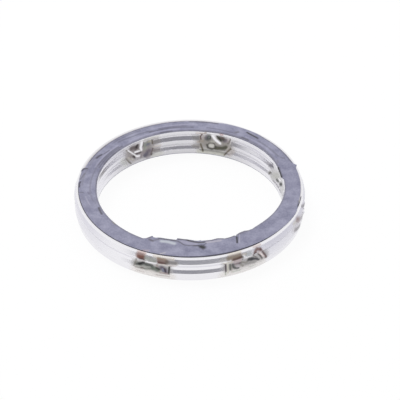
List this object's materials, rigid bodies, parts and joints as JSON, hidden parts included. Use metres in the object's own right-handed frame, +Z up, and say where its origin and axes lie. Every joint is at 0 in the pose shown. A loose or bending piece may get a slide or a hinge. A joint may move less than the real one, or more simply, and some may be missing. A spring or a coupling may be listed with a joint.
{
  "type": "exhaust gasket",
  "caption": "Flat ring gasket of ridged stainless strip wound with graphite, spot welded at the bore and the rim, with torn graphite hanging over the bore.",
  "frame": {"origin": "centre of the bore on the bottom face", "axes": "+Z up along the bore's axis, -Y towards the viewer of the picture, +X to the viewer's right"},
  "size_m": [0.043, 0.0431, 0.0053],
  "materials": {
    "steel_strip": "bright rolled stainless strip",
    "graphite_filler": "matt pressed graphite"
  },
  "bodies": {
    "root": {"steel_strip": "steel_strip", "graphite_filler": "graphite_filler"}
  },
  "joints": []
}
